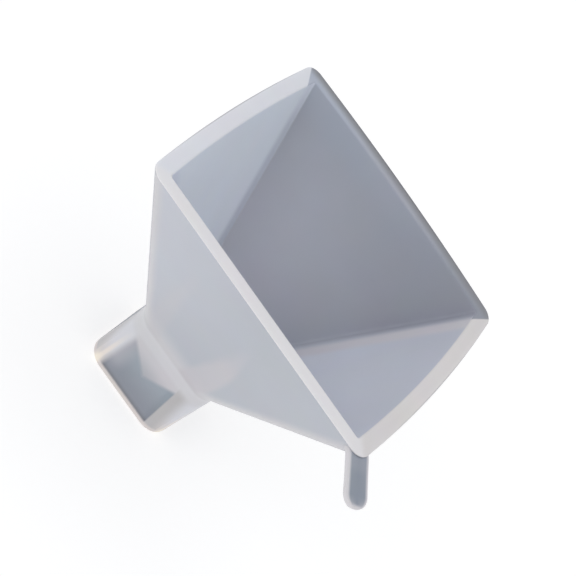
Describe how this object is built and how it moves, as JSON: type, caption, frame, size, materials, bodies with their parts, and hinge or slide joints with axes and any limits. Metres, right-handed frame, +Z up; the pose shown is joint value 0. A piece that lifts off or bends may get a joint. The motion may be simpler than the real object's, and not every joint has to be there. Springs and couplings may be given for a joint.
{
  "type": "resin casting mould",
  "caption": "Translucent silicone mould with an open square pyramid cavity, a hollow square foot and a pull tab at one rim corner.",
  "frame": {"origin": "on the surface the mould stands on, in the middle of the square foot, straight under the point of the cavity", "axes": "+Z up out of the mouth; -Y is the front side; the pull tab grows from the +X, -Y corner of the rim"},
  "size_m": [0.0747, 0.0748, 0.0595],
  "materials": {
    "silicone": "milky translucent silicone, satin"
  },
  "bodies": {
    "mould": {"rim_right": "silicone", "rim_back": "silicone", "rim_left": "silicone", "rim_front": "silicone", "wall_right": "silicone", "wall_back": "silicone", "wall_left": "silicone", "wall_front": "silicone", "collar_right": "silicone", "collar_back": "silicone", "collar_left": "silicone", "collar_front": "silicone", "foot_right": "silicone", "foot_back": "silicone", "foot_left": "silicone", "foot_front": "silicone", "cavity_point": "silicone", "tab_root": "silicone"},
    "tab": {"pull_tab": "silicone"}
  },
  "joints": [
    {"name": "tab_flex", "type": "hinge", "parent": "mould", "child": "tab", "pos_m": [0.03394, -0.03394, 0.0579], "axis": [-0.7071, -0.7071, 0], "range_deg": [-70, 80], "stiffness_Nm_per_rad": 0.0003}
  ]
}
